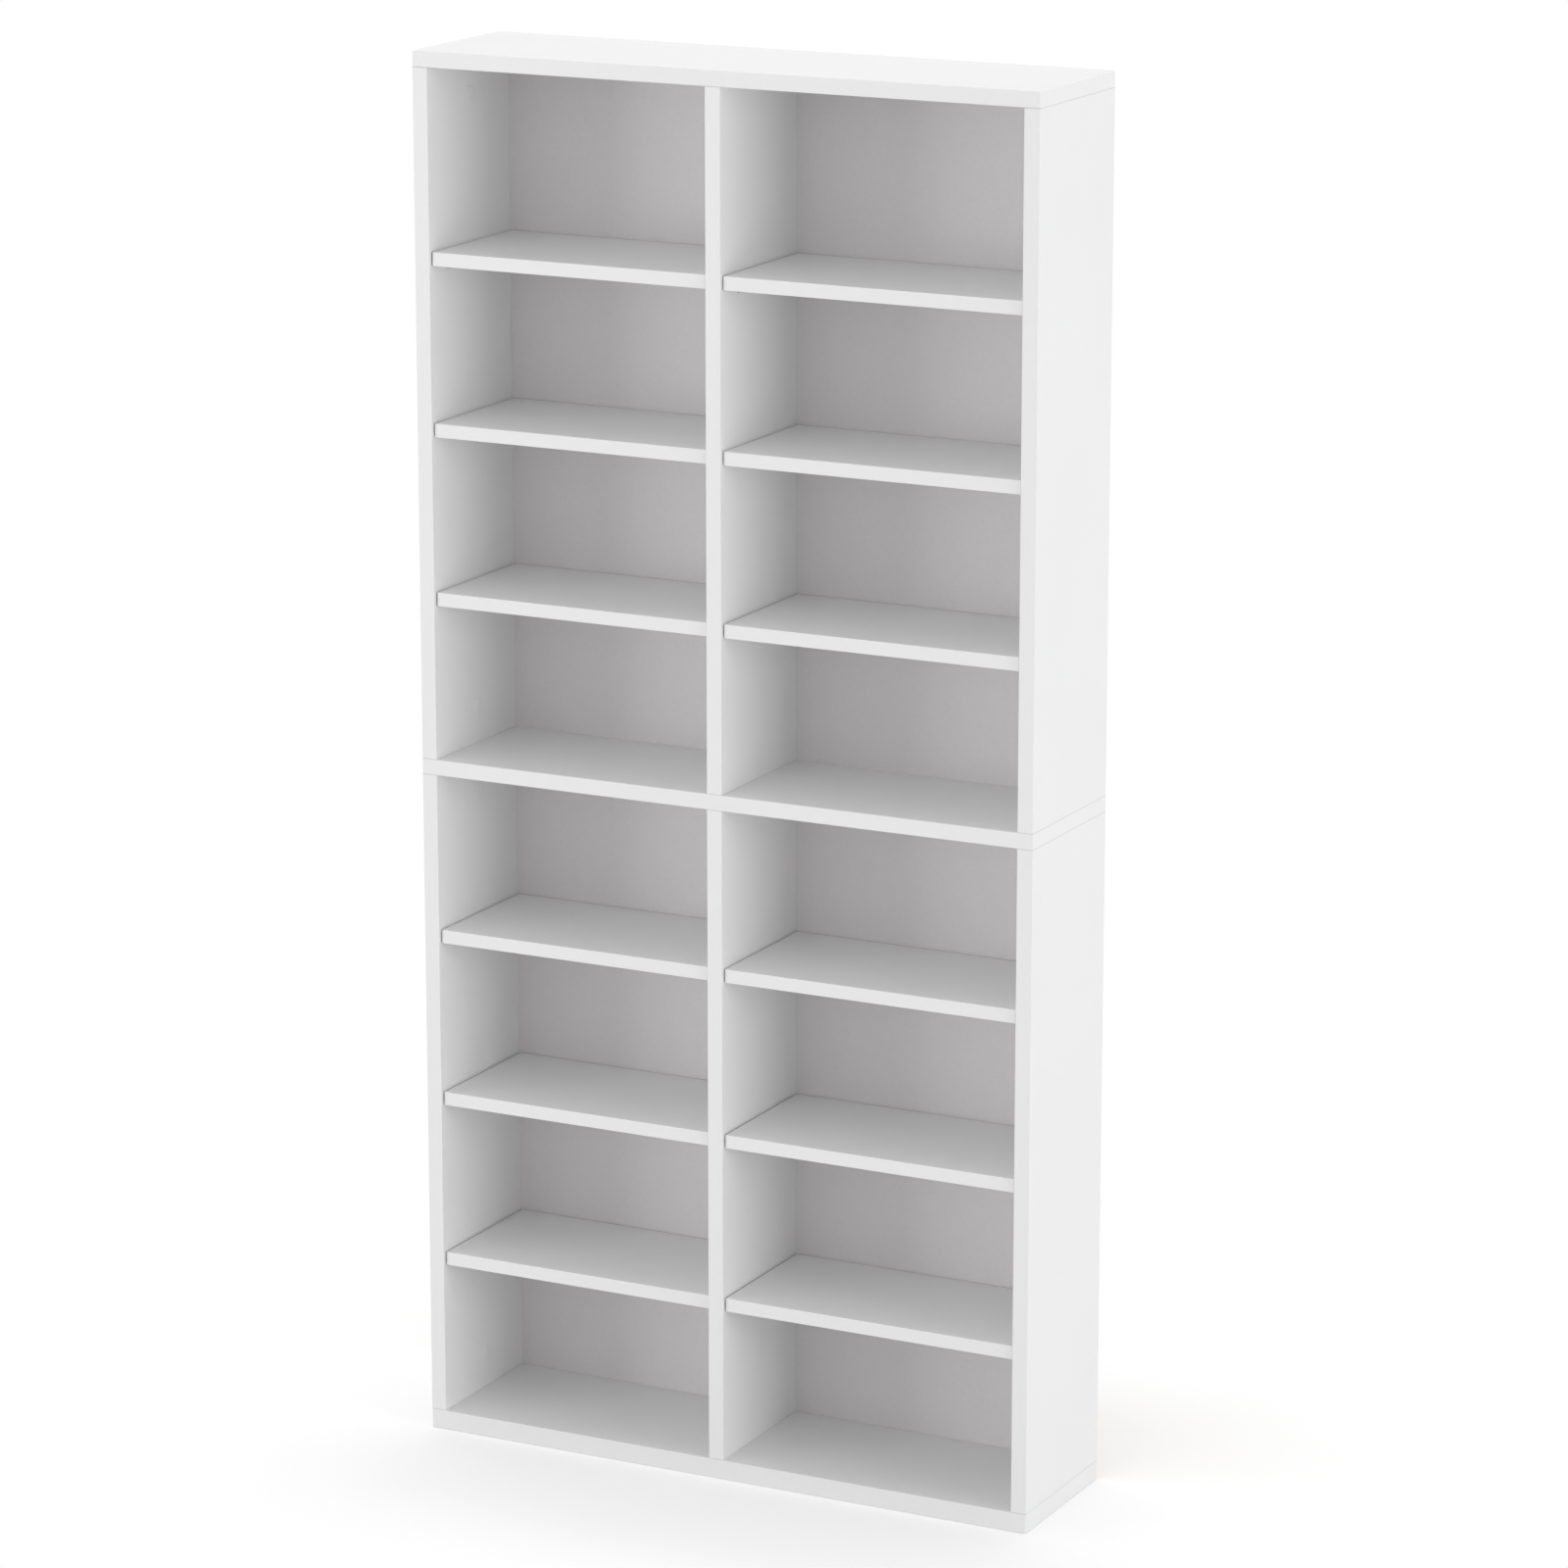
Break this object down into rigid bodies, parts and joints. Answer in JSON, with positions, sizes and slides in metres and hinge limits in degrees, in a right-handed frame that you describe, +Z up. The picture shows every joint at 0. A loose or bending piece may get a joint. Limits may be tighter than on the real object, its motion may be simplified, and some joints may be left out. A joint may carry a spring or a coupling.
{
  "type": "bookcase",
  "caption": "Tall, shallow white cube bookcase for disc cases: stacked modules with a divider, low compartments, loose shelves on support pins and thin grooved back panels.",
  "frame": {"origin": "on the floor, under the middle of the case", "axes": "+X to the right seen from the front, +Y to the back, +Z up"},
  "size_m": [0.63, 0.16, 1.33],
  "materials": {
    "white_board": "white melamine on chipboard, fine satin",
    "back_hardboard": "white lacquered front, raw brown rear",
    "pin_steel": "nickel plated",
    "cam_zinc": "die-cast zinc",
    "cover_plastic": "white, matt",
    "bolt_steel": "zinc plated",
    "beech": "raw turned beech"
  },
  "bodies": {
    "case": {"bottom_board": "white_board", "middle_board": "white_board", "top_board": "white_board", "lower_left_side": "white_board", "lower_divider": "white_board", "lower_right_side": "white_board", "lower_back_panel": "back_hardboard", "lower_shelf_pins": "pin_steel", "lower_cam_locks": "cam_zinc", "lower_cam_covers": "cover_plastic", "upper_left_side": "white_board", "upper_divider": "white_board", "upper_right_side": "white_board", "upper_back_panel": "back_hardboard", "upper_shelf_pins": "pin_steel", "upper_cam_locks": "cam_zinc", "upper_cam_covers": "cover_plastic", "foot_bolts": "bolt_steel", "link_bolts": "bolt_steel", "head_bolts": "bolt_steel", "foot_dowels": "beech", "link_dowels": "beech", "head_dowels": "beech"},
    "shelf_lower_left_1": {"shelf_lower_left_1": "white_board"},
    "shelf_lower_left_2": {"shelf_lower_left_2": "white_board"},
    "shelf_lower_left_3": {"shelf_lower_left_3": "white_board"},
    "shelf_lower_right_1": {"shelf_lower_right_1": "white_board"},
    "shelf_lower_right_2": {"shelf_lower_right_2": "white_board"},
    "shelf_lower_right_3": {"shelf_lower_right_3": "white_board"},
    "shelf_upper_left_1": {"shelf_upper_left_1": "white_board"},
    "shelf_upper_left_2": {"shelf_upper_left_2": "white_board"},
    "shelf_upper_left_3": {"shelf_upper_left_3": "white_board"},
    "shelf_upper_right_1": {"shelf_upper_right_1": "white_board"},
    "shelf_upper_right_2": {"shelf_upper_right_2": "white_board"},
    "shelf_upper_right_3": {"shelf_upper_right_3": "white_board"}
  },
  "joints": [
    {"name": "pull_lower_left_1", "type": "slide", "parent": "case", "child": "shelf_lower_left_1", "axis": [0, -1, 0], "range_m": [0, 0.155]},
    {"name": "pull_lower_left_2", "type": "slide", "parent": "case", "child": "shelf_lower_left_2", "axis": [0, -1, 0], "range_m": [0, 0.155]},
    {"name": "pull_lower_left_3", "type": "slide", "parent": "case", "child": "shelf_lower_left_3", "axis": [0, -1, 0], "range_m": [0, 0.155]},
    {"name": "pull_lower_right_1", "type": "slide", "parent": "case", "child": "shelf_lower_right_1", "axis": [0, -1, 0], "range_m": [0, 0.155]},
    {"name": "pull_lower_right_2", "type": "slide", "parent": "case", "child": "shelf_lower_right_2", "axis": [0, -1, 0], "range_m": [0, 0.155]},
    {"name": "pull_lower_right_3", "type": "slide", "parent": "case", "child": "shelf_lower_right_3", "axis": [0, -1, 0], "range_m": [0, 0.155]},
    {"name": "pull_upper_left_1", "type": "slide", "parent": "case", "child": "shelf_upper_left_1", "axis": [0, -1, 0], "range_m": [0, 0.155]},
    {"name": "pull_upper_left_2", "type": "slide", "parent": "case", "child": "shelf_upper_left_2", "axis": [0, -1, 0], "range_m": [0, 0.155]},
    {"name": "pull_upper_left_3", "type": "slide", "parent": "case", "child": "shelf_upper_left_3", "axis": [0, -1, 0], "range_m": [0, 0.155]},
    {"name": "pull_upper_right_1", "type": "slide", "parent": "case", "child": "shelf_upper_right_1", "axis": [0, -1, 0], "range_m": [0, 0.155]},
    {"name": "pull_upper_right_2", "type": "slide", "parent": "case", "child": "shelf_upper_right_2", "axis": [0, -1, 0], "range_m": [0, 0.155]},
    {"name": "pull_upper_right_3", "type": "slide", "parent": "case", "child": "shelf_upper_right_3", "axis": [0, -1, 0], "range_m": [0, 0.155]}
  ]
}
